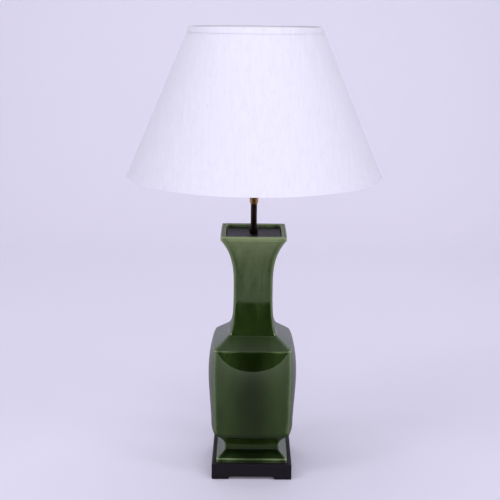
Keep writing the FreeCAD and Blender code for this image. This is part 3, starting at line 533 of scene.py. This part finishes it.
def cove_stretch():
    """Width w + d s^2 up to the cove's edge, then an arc into the panels."""
    rise = np.linspace(0, 1, 19)
    turn = np.linspace(HALF_RIGHT, 2 * HALF_RIGHT, 9)[1:]
    over = (np.sin(turn) - math.sin(HALF_RIGHT)) / (1 - math.sin(HALF_RIGHT))
    up = np.cos(turn) / math.cos(HALF_RIGHT)
    level = np.concatenate([between(LEVEL["waist"], LEVEL["cove"], rise),
                            between(LEVEL["base"], LEVEL["cove"], up)])
    width = np.concatenate([between(WAIST, COVE, rise ** 2), between(COVE, BASE[0], over)])
    grown = (width - WAIST) / (BASE[0] - WAIST)
    bow, corner = between(FLAT, BASE[1], grown), between(CRISP, BODY_CORNER, grown)
    return rows_of(level, width, bow, corner, PAINTED_COVE_SHADE * grown)


# %% [markdown]
# The panels swell towards the belly and close again under the shoulder. Separate arcs would
# meet in a crease, so one curve of the fourth degree through five heights gives the width at
# the corners, and another the bow of the sides. Half way to the belly, from below and from
# above, each has a set share of its full swell.

# %% Panels and shoulder
LOW_WIDTH, LOW_BOW, HIGH_WIDTH, HIGH_BOW = 0.75, 0.5, 0.8, 0.7
# The shoulder is darkened by painted shade, a dark reflection of the lampshade's underside.
PALE_PANEL, PAINTED_SHOULDER_SHADE = 0.04, -0.08


def through(levels, values, at):
    """The curve of the fourth degree through five points."""
    middle = (LEVEL["base"] + LEVEL["top"]) / 2
    return np.polyval(np.polyfit(np.array(levels) - middle, values, 4), at - middle)


def panel_stretches():
    """The bowed panels, and the shoulder that slopes in to the neck."""
    base, belly, top = LEVEL["base"], LEVEL["belly"], LEVEL["top"]
    levels = (base, (base + belly) / 2, belly, (belly + top) / 2, top)
    low = (between(BASE[0], BELLY[0], LOW_WIDTH), between(BASE[1], BELLY[1], LOW_BOW))
    high = (between(TOP[0], BELLY[0], HIGH_WIDTH), between(TOP[1], BELLY[1], HIGH_BOW))
    widths, bows = zip(BASE, low, BELLY, high, TOP)
    at = np.linspace(base, top, 33)
    width, bow = through(levels, widths, at), through(levels, bows, at)
    return [rows_of(at, width, bow, BODY_CORNER, PALE_PANEL),
            straight((top, *TOP, BODY_CORNER, PAINTED_SHOULDER_SHADE),
                     (LEVEL["shoulder"], *SHOULDER, NECK_CORNER, PAINTED_SHOULDER_SHADE), 8)]


# %% [markdown]
# The neck is narrowest nearly half way up. Going down from there its width grows with the
# power 2.2 of the drop, and a tenth power flicks it out onto the shoulder. Going up, nearly a
# cube opens the mouth. A Bezier curve could be drawn over it by eye, but two powers need only
# two numbers each. The lip is a plain square band, and the glaze is palest on it.

# %% Neck
# The neck pales towards the mouth with a painted reflection.
PAINTED_NECK_REFLECTION = 0.38


def neck_stretch():
    """Width n + t s^2.2 + k s^10 below the narrowest ring, and n + f s^2.95 above it.

    A painted reflection pales the glaze with s^1.5 towards the mouth.
    """
    down, up = np.linspace(1, 0, 25), np.linspace(0, 1, 29)[1:]
    flick = SHOULDER[0] - NECK - NECK_TAPER
    below = rows_of(between(LEVEL["neck"], LEVEL["shoulder"], down),
                    NECK + NECK_TAPER * down ** 2.2 + flick * down ** 10,
                    between(FLAT, SHOULDER[1], down ** 10), NECK_CORNER, 0.0)
    above = rows_of(between(LEVEL["neck"], LEVEL["mouth"], up), NECK + NECK_FLARE * up ** 2.95,
                    FLAT, NECK_CORNER, PAINTED_NECK_REFLECTION * up ** 1.5)
    return np.concatenate([below, above])


# %% Mouth
# The rim's top is paled by a painted reflection.
PALE_LIP, DULL_LIP, PAINTED_RIM_REFLECTION, PALE_TRAY = 0.74, 0.46, 0.50, 0.30


def mouth_stretches():
    """The lip's step, its face, the rim, the tray's wall and the tray's ledge."""
    def row(level, width, thin):
        return (LEVEL[level], width, FLAT, CRISP, thin)

    under = (LEVEL["mouth"], NECK + NECK_FLARE, FLAT, NECK_CORNER, PAINTED_NECK_REFLECTION)
    return [straight(under, row("mouth", LIP, DULL_LIP)),
            straight(row("mouth", LIP, DULL_LIP), row("rim", LIP, PALE_LIP)),
            straight(row("rim", LIP, PAINTED_RIM_REFLECTION), row("rim", TRAY, PAINTED_RIM_REFLECTION)),
            straight(row("rim", TRAY, PALE_TRAY), row("mouth", TRAY, PALE_TRAY)),
            straight(row("mouth", TRAY, PALE_TRAY), row("mouth", TRAY - LEDGE, PALE_TRAY))]


# %% [markdown]
# Nobody sees the inside, but a vase is hollow, and a closed mesh needs a way back to the foot.
# A Solidify modifier could make the wall, but not the ledge and the drilled floor. So it is a
# chain of straight stretches, about 6 mm inside the outer ones, as in the CAD model.

# %% Inside
BORE_TOP, BORE_OPENING = 55.6, 6.0
BORE_FOOT, BORE_TAPER = 22.0, 1.5
WELL = 21.8


def inside_stretches():
    """Down the bore and the body, through the drilled floor, and out over the foot's recess."""
    bore = NECK - WALL
    waist = WAIST - WALL
    corners = [(LEVEL["mouth"], TRAY - LEDGE, FLAT, CRISP),
               (LEVEL["throat"], TRAY - LEDGE, FLAT, CRISP),
               (LEVEL["neck"] + BORE_TOP, bore + BORE_OPENING, FLAT, BODY_CORNER),
               (LEVEL["neck"], bore, FLAT, BODY_CORNER),
               (LEVEL["shoulder"] + BORE_FOOT, bore + BORE_TAPER, FLAT, BODY_CORNER),
               (LEVEL["shoulder"] - WALL / 2, SHOULDER[0] - WALL, FLAT, BODY_CORNER),
               (LEVEL["top"] - WALL, TOP[0] - WALL, TOP[1], BODY_CORNER),
               (LEVEL["belly"], BELLY[0] - WALL, BELLY[1], BODY_CORNER),
               (LEVEL["base"] + WALL / 2, BASE[0] - WALL, BASE[1], BODY_CORNER),
               (LEVEL["floor"] + WELL, waist, FLAT, CRISP),
               (LEVEL["floor"], waist, FLAT, CRISP),
               (LEVEL["floor"], DRILL, 0.0, DRILL),
               (LEVEL["recess"], DRILL, 0.0, DRILL),
               (LEVEL["recess"], RECESS, FLAT, CRISP),
               (0.0, RECESS, FLAT, CRISP)]
    return [straight((*low, 0.0), (*high, 0.0), 4) for low, high in zip(corners, corners[1:])]


# %% [markdown]
# Two stretches meet in an edge. A potter's edge is never sharp, so each is cut back a little
# and bridged by a parabola. A Bevel modifier could round them too, but here the turn of the
# edge also tells the glaze what to do: it thins over an edge that points out, and gathers in
# one that points in.

# %% Lengths along a profile
def run_of(rows):
    """Length along the profile up to each row."""
    return np.concatenate([[0.0], np.cumsum(np.hypot(*np.diff(rows[:, :2], axis=0).T))])


def rows_at(rows, along):
    """The row at each given length along a stretch, or the one row at a number."""
    return np.stack([np.interp(along, run_of(rows), column) for column in rows.T], axis=-1)


# %% Easing the edges
EASE, EASE_SHARE = 1.1, 0.3
FIRST_ROW, CLEAR_START, CLEAR_END, LAST_ROWS = 1.2, 2.0, 3.5, (3, 1)
DRAIN_OUT, DRAIN_IN, DRAIN_AT_START = 0.45, 0.60, 0.45
DRAIN_FROM, DRAIN_TO = 0.15, 0.85


def bridge(before, crisp, onward):
    """Rows of a parabola over an edge, and how far that edge drains the glaze.

    The drain rises and falls along it like the middle part of half a sine wave.
    """
    arriving, leaving = crisp[:2] - before[:2], onward[:2] - crisp[:2]
    turn = arriving[1] * leaving[0] - arriving[0] * leaving[1]
    turn = turn / (np.hypot(*arriving) * np.hypot(*leaving))
    drained = turn * (DRAIN_OUT if turn > 0 else DRAIN_IN)
    t = np.linspace(0, 1, 6)[1:, None]
    rows = before * (1 - t) ** 2 + crisp * 2 * t * (1 - t) + onward * t ** 2
    rows[:, 4] += drained * np.sin(math.pi * between(DRAIN_FROM, DRAIN_TO, t[:, 0]))
    return rows, drained


def eased(stretches):
    """All stretches as one closed profile, with every edge between them rounded.

    Rows near an edge are dropped, and new ones stand at set distances from it, in eases.
    """
    made, start = [], 0.0
    for rows, after in zip(stretches, stretches[1:] + stretches[:1]):
        run = run_of(rows)
        near = min(EASE, EASE_SHARE * run[-1], EASE_SHARE * run_of(after)[-1])
        inner = run[(run > start + near * CLEAR_START) & (run < run[-1] - near * CLEAR_END)]
        last = run[-1] - near * np.array(LAST_ROWS)
        kept = rows_at(rows, np.concatenate([[start + near * FIRST_ROW], inner, last]))
        over, drained = bridge(kept[-1].copy(), (rows[-1] + after[0]) / 2, rows_at(after, near))
        kept[-1, 4] += drained * DRAIN_AT_START
        made += [kept, over]
        start = near
    return np.concatenate(made)


# %% [markdown]
# A side of a ring is the parabola y = w + b (1 - (x/w)^2), as far as a = w - c. Where it ends
# its slope is m = 2ab/w^2. A corner is a rational quadratic from there to the next side: its
# middle point lies on the diagonal where both tangents meet, at a + (e - a) / (1 + m), and
# the weight cos 45 makes it a circle's arc when the sides are flat.

# %% Rings of the vase
SIDE_STEPS, CORNER_STEPS = 26, 10


def side_points(width, bow, corner):
    """Points (x, y) along one side and round its corner, for columns of ring sizes."""
    a = width - corner
    e = width + bow * corner * (2 * width - corner) / width ** 2
    meet = a + (e - a) / (1 + 2 * a * bow / width ** 2)
    u = np.linspace(-1, 1, SIDE_STEPS, endpoint=False)
    t = np.linspace(0, 1, CORNER_STEPS, endpoint=False)
    first, middle, last = (1 - t) ** 2, 2 * t * (1 - t) * math.cos(HALF_RIGHT), t ** 2
    whole = first + middle + last
    side = width + bow * (1 - (a * u / width) ** 2)
    x = np.concatenate([a * u, (a * first + meet * middle + e * last) / whole], axis=1)
    y = np.concatenate([side, (e * first + meet * middle + a * last) / whole], axis=1)
    return x, y


def vase_rings(rows, foot):
    """Points of all rings: one side and corner, turned four times by a right angle."""
    x, y = side_points(*(rows[:, k, None] for k in (1, 2, 3)))
    across = np.concatenate([x, y, -x, -y], axis=1)
    deep = np.concatenate([y, -x, -y, x], axis=1)
    return np.stack([across, deep, np.broadcast_to(rows[:, :1] + foot, across.shape)], axis=-1)


# %% [markdown]
# The last step adds what the plan view does: the glaze thins over the vertical corners,
# which also carry a painted highlight, a narrow darker line runs beside them, and a painted
# dark reflection runs down the middle of the panels. It could be painted on by hand, but each
# ring already knows where its sides and corners are.

# %% Glaze thickness, painted highlights and painted shade
# Corners pale from thinned glaze and a painted highlight; the middle of each panel carries a painted
# dark reflection.
CORNER_THIN_AND_LIT, FLANK_DARK, PAINTED_DARK_MIDDLE, OVERALL = 0.34, 0.30, 0.46, 0.12


def around_ring(on_side, on_corner):
    """Values along one side and one corner, repeated all the way round."""
    return np.tile(np.concatenate([on_side, on_corner]), 4)


def glaze_and_painted_light(rows):
    """The rows' own value, plus glaze thinned on each corner with a painted highlight, less a
    darker line on each flank and a painted dark reflection down each panel's middle.

    Corners pale by sin^2, flanks darken by 2 u^10 (1 - u^20), and panels by (1 - u^2)^3.
    """
    u = np.linspace(-1, 1, SIDE_STEPS, endpoint=False)
    corner = np.sin(math.pi * np.linspace(0, 1, CORNER_STEPS, endpoint=False)) ** 2
    drain_and_gleam = around_ring(u * 0, corner) * CORNER_THIN_AND_LIT
    flank = around_ring(2 * u ** 10 * (1 - u ** 20), corner * 0) * FLANK_DARK
    dark_middle = around_ring((1 - u ** 2) ** 3, corner * 0) * PAINTED_DARK_MIDDLE
    keen = np.where(rows[:, 3] < DRILL, CRISP / rows[:, 3], 0.0)[:, None]
    wide = np.clip((rows[:, 1] - NECK) / (BELLY[0] - NECK), 0, 1) * (rows[:, 0] < LEVEL["neck"])
    return np.clip(rows[:, 4:] + OVERALL + (drain_and_gleam - flank) * keen - dark_middle * wide[:, None], -1, 1)


# %% The vase itself
rows = eased(foot_stretches() + [cove_stretch()] + panel_stretches() + [neck_stretch()]
             + mouth_stretches() + inside_stretches())
rings = vase_rings(rows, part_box("vase")[0].z / MM)
vase = grid_piece("glazed_vase", rings, "green_glaze", thin=glaze_and_painted_light(rows))
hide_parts("vase")
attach(vase, "lamp")

# %% [markdown]
# ## The silk cover
#
# The silk is laminated to a stiff backing, cut as a ring sector, and closed by a lapped seam
# at the back. The CAD cone is smooth all round. A strip laid over it could stand for the lap,
# but the lap is part of the cloth, so the cover is made again with it.

# %% Sizes of the cover
COVER_THICKNESS, LAP_WIDTH, LAP_HEIGHT, LAP_EDGE = 0.8, 12.0, 0.5, 1.5
SAME_LEVEL = 0.01
cover_low, cover_high = (np.array(corner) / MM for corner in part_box("shade_cover"))
cover_points = np.array([vertex.co for vertex in frame["nodes"]["shade_cover"].data.vertices]) / MM
top_edge = cover_points[cover_points[:, 2] > cover_high[2] - SAME_LEVEL]
top_radius = np.hypot(top_edge[:, 0], top_edge[:, 1]).max()
bottom_radius = cover_high[0]
print("cover radii", round(bottom_radius, 1), "and", round(top_radius, 1), "mm")


# %% Surface of the cover
def cover_rings(steps=20, around=360):
    """Up the outer face and down the inner one. The lap lifts the outer face at the back."""
    share = np.linspace(0, 1, steps)
    outer = between(bottom_radius, top_radius, share)
    radius = np.concatenate([outer, outer[::-1] - COVER_THICKNESS])[:, None]
    level = between(cover_low[2], cover_high[2], np.concatenate([share, share[::-1]]))[:, None]
    angle = np.linspace(0, 2 * math.pi, around, endpoint=False)[None, :]
    from_back = np.abs((angle + math.pi / 2) % (2 * math.pi) - math.pi) * bottom_radius
    lap = LAP_HEIGHT * np.clip((LAP_WIDTH / 2 - from_back) / LAP_EDGE + 0.5, 0, 1)
    radius = radius + lap * (np.arange(2 * steps) < steps)[:, None]
    level = np.broadcast_to(level, radius.shape)
    return np.stack([radius * np.cos(angle), radius * np.sin(angle), level], axis=-1)


cover = grid_piece("silk_cover", cover_rings(), "silk")
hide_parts("shade_cover")
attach(cover, "shade")

# %% [markdown]
# The cloth could be measured on the mesh, but a cone unrolls exactly. It is a sector of a ring
# whose far radius is R s / (R - r) and which opens by 2 pi (R - r) / s, where s is the slant
# and R and r are the two radii.

# %% Its flat cut
slant = math.hypot(cover_high[2] - cover_low[2], bottom_radius - top_radius)
opening = 2 * math.pi * (bottom_radius - top_radius) / slant
far = bottom_radius * slant / (bottom_radius - top_radius)
cut_width = 2 * far * math.sin(min(opening, math.pi) / 2)
cut_height = far - (far - slant) * math.cos(opening / 2)
cut_area = math.pi * (bottom_radius + top_radius) * slant
cut_width * MM
cut_height * MM
cut_area * MM ** 2
print("cut from", round(cut_width), "by", round(cut_height), "mm of silk")

# %% [markdown]
# ## The bulb's screw cap
#
# The thread is rolled into thin sheet. Relief in a material could show it, but its outline
# would stay straight. So the radius at height z and angle q falls by
# d (1 + cos(2 pi z / p - q)) / 2, with p the pitch and d the depth, and the groove fades out
# at both ends.

# %% Sizes of the screw cap
PITCH, GROOVE, GROOVE_FADE, THREAD_ROWS = 3.629, 0.85, 2.0, 65
CAP_TAPER, CAP_FLOOR, CAP_FLOOR_RADIUS, CAP_SKIN = 4.0, 5.0, 6.9, 0.5
cap_low, cap_high = (np.array(corner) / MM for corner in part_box("bulb_cap"))
cap_radius, cap_height = cap_high[0], cap_high[2] - cap_low[2]
print("screw cap", round(2 * cap_radius, 1), "mm wide and", round(cap_height, 1), "mm high")


# %% Surface of the screw cap
def joined(below, threaded, above):
    """A column of values from the pole below to the pole on the floor."""
    return np.concatenate([below, threaded, above])[:, None]


def cap_rings(around=96):
    """From the pole below, over the thread, in over the top and down to the pole on its floor."""
    inner = cap_radius - CAP_SKIN - GROOVE
    climb = np.linspace(CAP_TAPER, cap_height, THREAD_ROWS)
    level = joined([0, 0], climb, [cap_height, CAP_FLOOR, CAP_FLOOR])
    radius = joined([0, CAP_FLOOR_RADIUS], climb * 0 + cap_radius, [inner, inner, 0])
    cut = joined([0, 0], climb * 0 + 1, [0, 0, 0])
    cut = cut * np.clip((level - CAP_TAPER) / GROOVE_FADE, 0, 1)
    cut = cut * np.clip((cap_height - level) / GROOVE_FADE, 0, 1)
    angle = np.linspace(0, 2 * math.pi, around, endpoint=False)[None, :]
    radius = radius - GROOVE * cut * (1 + np.cos(2 * math.pi * level / PITCH - angle)) / 2
    level = np.broadcast_to(level + cap_low[2], radius.shape)
    return np.stack([radius * np.cos(angle), radius * np.sin(angle), level], axis=-1)


screw = grid_piece("bulb_screw_cap", cap_rings(), "bulb_metal")
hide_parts("bulb_cap")
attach(screw, "bulb")

# %% [markdown]
# ## Stage
#
# A glossy vase looks like what stands round it. In this glaze the pale floor is mirrored as
# far as about a metre in front, and it is dark beyond that, with a darker middle on each
# panel. A picture of a room could be mirrored, but two sheets are easier to move: a pale
# sweep that ends there, with painted shade down its middle near the lamp that only
# reflections see, and a dark curtain behind the camera that only reflections can see.

# %% Sheets of the stage
PAPER = (0.80, 0.787, 0.875, 1)
SWEEP_WIDTH, SWEEP_FRONT, SWEEP_BACK, SWEEP_RADIUS, SWEEP_TOP = 3.0, -1.19, 2.4, 0.9, 3.2
CURTAIN_PLACE, CURTAIN_WIDTH, CURTAIN_FOOT, CURTAIN_TOP = -2.7, 3.5, -1.0, 4.5


def stage_sheet(name, line, width, finish):
    """A sheet that carries a line of (y, z) points, in metres, from side to side."""
    line = np.array(line)
    sides = np.repeat([[-width], [width]], len(line), axis=0)
    points = np.hstack([sides, np.vstack([line, line])])
    low = np.arange(len(line) - 1)
    faces = np.stack([low, low + 1, low + 1 + len(line), low + len(line)], axis=-1)
    mesh = bpy.data.meshes.new(name)
    mesh.from_pydata(points.tolist(), [], faces.tolist())
    mesh.shade_smooth()
    item = bpy.data.objects.new(name, mesh)
    bpy.context.scene.collection.objects.link(item)
    dress(item, finish)
    print(name, "has", len(faces), "faces")
    return item


# %% Sweep
paper = Finish("sweep_paper", roughness=0.9, specular_ior_level=0.1)
where = paper.place()
# Painted shade: in reflections only, the sweep darkens down its middle near the lamp.
mirrored = paper.add("ShaderNodeLightPath", {}, output="Is Glossy Ray")
beside = where.axis("X").math("ABSOLUTE").spread(0.05, 0.85)
near = (where.axis("Y") * -1).spread(0.40, 1.05, 1.0, 0.62)
paper.feed("Base Color", paper.blend((1 - beside) * near * mirrored, PAPER, (0.20, 0.19, 0.21, 1)))

turn = np.linspace(0, math.pi / 2, 17)
back = SWEEP_BACK - SWEEP_RADIUS * (1 - np.sin(turn))
curve = np.stack([back, SWEEP_RADIUS * (1 - np.cos(turn))], axis=-1)
stage_sheet("sweep", [(SWEEP_FRONT, 0.0), *curve, (SWEEP_BACK, SWEEP_TOP)], SWEEP_WIDTH, paper)

# %% Curtain
cloth = Finish("curtain_cloth", roughness=1.0, specular_ior_level=0.0)
beside = cloth.place().axis("X").math("ABSOLUTE").spread(0.15, 1.2)
cloth.feed("Base Color", cloth.blend(beside, (0.005, 0.005, 0.005, 1), (0.10, 0.10, 0.10, 1)))
hang = [(CURTAIN_PLACE, CURTAIN_FOOT), (CURTAIN_PLACE, CURTAIN_TOP)]
curtain = stage_sheet("curtain", hang, CURTAIN_WIDTH, cloth)
curtain.visible_camera = False
curtain.visible_diffuse = False
curtain.visible_shadow = False

# %% [markdown]
# ## Light
#
# Large soft lights in front and above show the shapes without hard shadows. A picture of a
# studio could light the lamp too, but rectangles can be turned down one by one. Only two small
# ones at the sides may be seen in the glaze. The world adds a plain fill.

# %% Lights
LIGHT = (0.925, 0.90, 1.0)


def add_light(name, place, aim, size, power, mirrored=False):
    """A soft rectangular light that looks at a point."""
    lamp = bpy.data.lights.new(name, "AREA")
    lamp.shape = "RECTANGLE"
    lamp.size, lamp.size_y = size
    lamp.energy = power
    lamp.color = LIGHT
    item = bpy.data.objects.new(name, lamp)
    aimed = (Vector(aim) - Vector(place)).to_track_quat("-Z", "Y").to_matrix().to_4x4()
    item.matrix_world = Matrix.Translation(place) @ aimed
    item.visible_camera = False
    item.visible_glossy = mirrored
    bpy.context.scene.collection.objects.link(item)
    print(name, "light of", power, "W")


add_light("key", (-0.9, -1.2, 2.9), (0.0, 0.0, 0.3), (2.4, 2.0), 24.0)
add_light("front", (0.8, -3.0, 1.5), (0.0, 0.0, 0.5), (3.0, 1.8), 52.0)
add_light("wall", (0.0, 0.9, 2.9), (0.0, 2.4, 1.0), (3.0, 0.8), 27.0)
add_light("left_corner", (-1.6, -0.9, 1.9), (0.0, 0.0, 0.3), (0.5, 0.5), 7.0, mirrored=True)
add_light("right_corner", (1.6, -0.9, 1.9), (0.0, 0.0, 0.3), (0.5, 0.5), 7.0, mirrored=True)

# %% World
FILL, MIRRORED, SEEN = (0.30, 0.293, 0.325, 1), (0.52, 0.51, 0.60, 1), (0.71, 0.685, 0.86, 1)
world = bpy.data.worlds.new("room")
bpy.context.scene.world = world
world.use_nodes = True
room = Graph(world.node_tree)
colour = room.blend(room.add("ShaderNodeLightPath", {}, output="Is Glossy Ray"), FILL, MIRRORED)
colour = room.blend(room.add("ShaderNodeLightPath", {}, output="Is Transmission Ray"), colour, MIRRORED)
colour = room.blend(room.add("ShaderNodeLightPath", {}, output="Is Camera Ray"), colour, SEEN)
room.plug(world.node_tree.nodes["Background"].inputs["Color"], colour)
print("world has", len(world.node_tree.nodes), "nodes")

# %% [markdown]
# ## Camera
#
# The camera stands where the photograph's did. Its place could be tried by hand, but the
# shade's two ellipses and its slant fix it: 1.56 m in front, 0.76 m up, looking down by 13.8
# degrees, and rolled by half a degree.

# %% Camera
CAMERA_PLACE, LOOK_DOWN, ROLL = (-0.005723, -1.558, 0.75807), 13.772, 0.515
SENSOR_WIDTH, FOCAL_LENGTH = 36.0, 70.69
camera = bpy.data.objects.new("camera", bpy.data.cameras.new("camera"))
camera.data.sensor_width = SENSOR_WIDTH
camera.data.lens = FOCAL_LENGTH
tilt = Matrix.Rotation(math.radians(90 - LOOK_DOWN), 4, "X")
roll = Matrix.Rotation(math.radians(ROLL), 4, "Z")
camera.matrix_world = Matrix.Translation(CAMERA_PLACE) @ tilt @ roll
bpy.context.scene.collection.objects.link(camera)
bpy.context.scene.camera = camera
bpy.context.scene.view_settings.view_transform = "Standard"
print("camera at", CAMERA_PLACE, "with a lens of", FOCAL_LENGTH, "mm")
